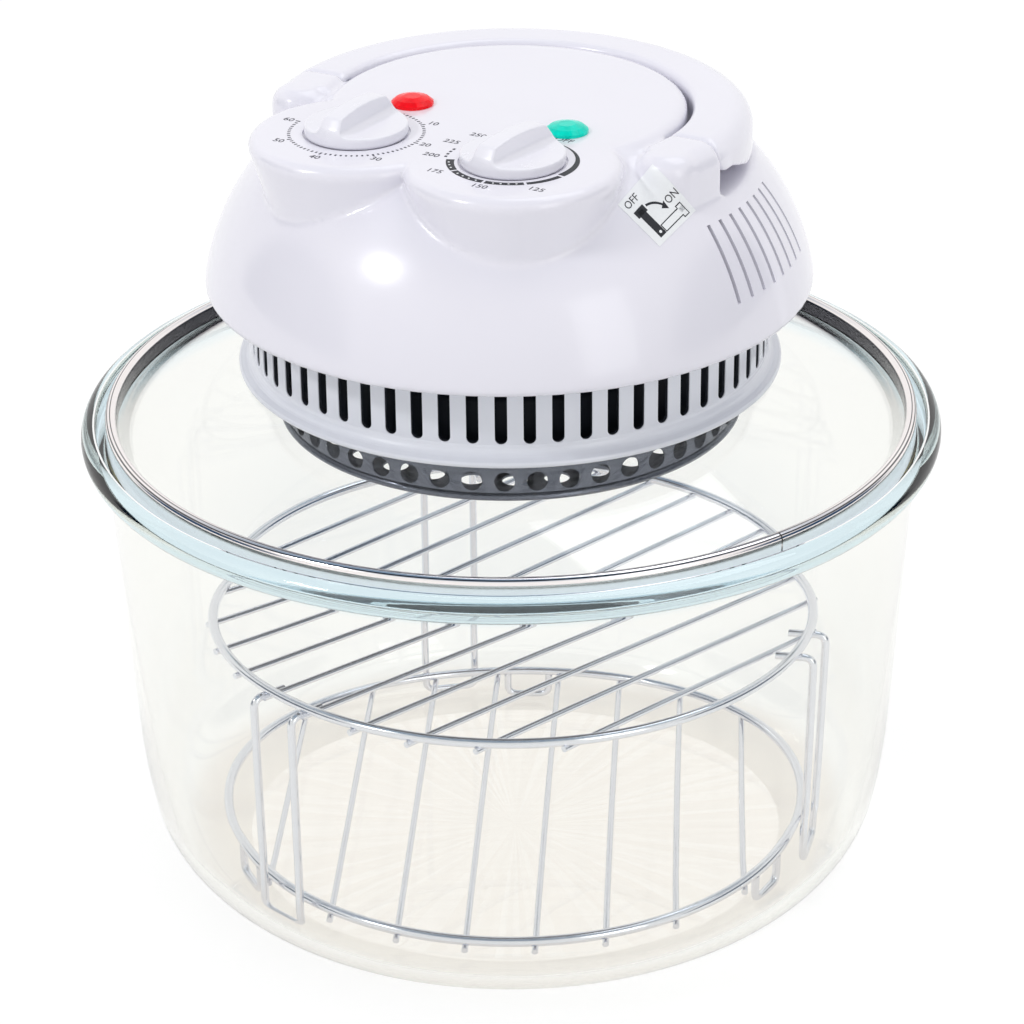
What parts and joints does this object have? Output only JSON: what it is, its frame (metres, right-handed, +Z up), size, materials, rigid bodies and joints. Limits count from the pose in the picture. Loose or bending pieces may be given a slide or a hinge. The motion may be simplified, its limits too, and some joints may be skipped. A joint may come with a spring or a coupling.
{
  "type": "halogen oven",
  "caption": "Round glass bowl oven with wire racks and a lift-off glass lid whose white head carries a ring heater, fans, timer, thermostat and a folding carrying handle.",
  "frame": {"origin": "centre of the bowl's flat base, on the table", "axes": "+Z up; the dials face -Y and the folded handle lies round the back, towards +Y; the timer is on the -X side"},
  "size_m": [0.34, 0.34, 0.3333],
  "materials": {
    "clear_glass": "clear pressed heat-proof glass",
    "rack_wire": "bright plated wire",
    "rim_steel": "bright rolled stainless steel",
    "seal_silicone": "matt silicone",
    "white_plastic": "glossy moulded white",
    "guard_chrome": "bright plated sheet",
    "reflector_sheet": "bright spun sheet",
    "quartz": "frosted quartz tube",
    "ceramic": "unglazed steatite",
    "shield_steel": "gloss black enamel",
    "fibre_pad": "soft white mineral fibre",
    "zinc_steel": "bright zinc plated",
    "core_steel": "stacked laminations",
    "copper_wire": "enamelled copper winding",
    "shaft_steel": "ground steel",
    "fan_aluminium": "pressed sheet",
    "fan_plastic": "heat-proof moulding",
    "unit_plastic": "natural moulding",
    "bell_brass": "pressed brass",
    "red_lens": "clear red, facetted",
    "green_lens": "clear green, facetted",
    "black_plastic": "black moulding",
    "red_plastic": "red moulding"
  },
  "bodies": {
    "bowl": {"glass_bowl": "clear_glass"},
    "low_rack": {"low_rack": "rack_wire", "low_rack_bars": "rack_wire"},
    "high_rack": {"high_rack": "rack_wire"},
    "rotor": {"rotor_core": "core_steel", "rotor_shaft": "shaft_steel", "convection_fan": "fan_aluminium", "cooling_fan": "fan_plastic", "fan_nut": "zinc_steel"},
    "timer_dial": {"timer_shaft": "shaft_steel", "timer_knob": "white_plastic"},
    "heat_dial": {"thermostat_shaft": "shaft_steel", "thermostat_knob": "white_plastic"},
    "handle": {"carry_handle": "white_plastic"},
    "interlock": {"switch_plunger": "red_plastic"},
    "lid": {"lid_glass": "clear_glass", "lid_rim_band": "rim_steel", "glass_gasket": "seal_silicone", "vent_skirt": "white_plastic", "heater_guard": "guard_chrome", "reflector_pan": "reflector_sheet", "halogen_lamp": "quartz", "lamp_holders": "ceramic", "heat_shield": "shield_steel", "insulation_pad": "fibre_pad", "motor_bridge": "zinc_steel", "motor_core": "core_steel", "motor_coil": "copper_wire", "bearing_brackets": "zinc_steel", "head_cover": "white_plastic", "timer_unit": "unit_plastic", "timer_bell": "bell_brass", "thermostat_unit": "unit_plastic", "capillary_sensor": "copper_wire", "power_lens": "red_lens", "heat_lens": "green_lens", "lamp_sockets": "black_plastic", "handle_pins": "shaft_steel", "safety_switch": "black_plastic", "cord_gland": "white_plastic", "terminal_block": "unit_plastic", "cover_screws": "zinc_steel", "bridge_screws": "zinc_steel", "guard_screws": "zinc_steel"}
  },
  "joints": [
    {"name": "lid_lift", "type": "slide", "parent": "bowl", "child": "lid", "axis": [0, 0, 1], "range_m": [0, 0.42]},
    {"name": "high_rack_lift", "type": "slide", "parent": "bowl", "child": "high_rack", "axis": [0, 0, 1], "range_m": [0, 0.294]},
    {"name": "low_rack_lift", "type": "slide", "parent": "bowl", "child": "low_rack", "axis": [0, 0, 1], "range_m": [0, 0.189]},
    {"name": "handle_fold", "type": "hinge", "parent": "lid", "child": "handle", "pos_m": [0, 0, 0.3156], "axis": [1, 0, 0], "range_deg": [0, 90]},
    {"name": "switch_travel", "type": "slide", "parent": "lid", "child": "interlock", "axis": [0, 0, 1], "range_m": [0, 0.003]},
    {"name": "timer_turn", "type": "hinge", "parent": "lid", "child": "timer_dial", "pos_m": [-0.0332, -0.0561, 0.32], "axis": [0, 0, -1], "range_deg": [0, 270]},
    {"name": "thermostat_turn", "type": "hinge", "parent": "lid", "child": "heat_dial", "pos_m": [0.0332, -0.0561, 0.32], "axis": [0, 0, -1], "range_deg": [0, 290]},
    {"name": "fan_spin", "type": "hinge", "parent": "lid", "child": "rotor", "pos_m": [0, 0, 0.25], "axis": [0, 0, 1], "continuous": true}
  ],
  "couplings": [
    {"joint": "high_rack_lift", "follows": "lid_lift", "ratio": 0.7},
    {"joint": "low_rack_lift", "follows": "lid_lift", "ratio": 0.45},
    {"joint": "switch_travel", "follows": "handle_fold", "m_per_rad": 0.0019}
  ]
}
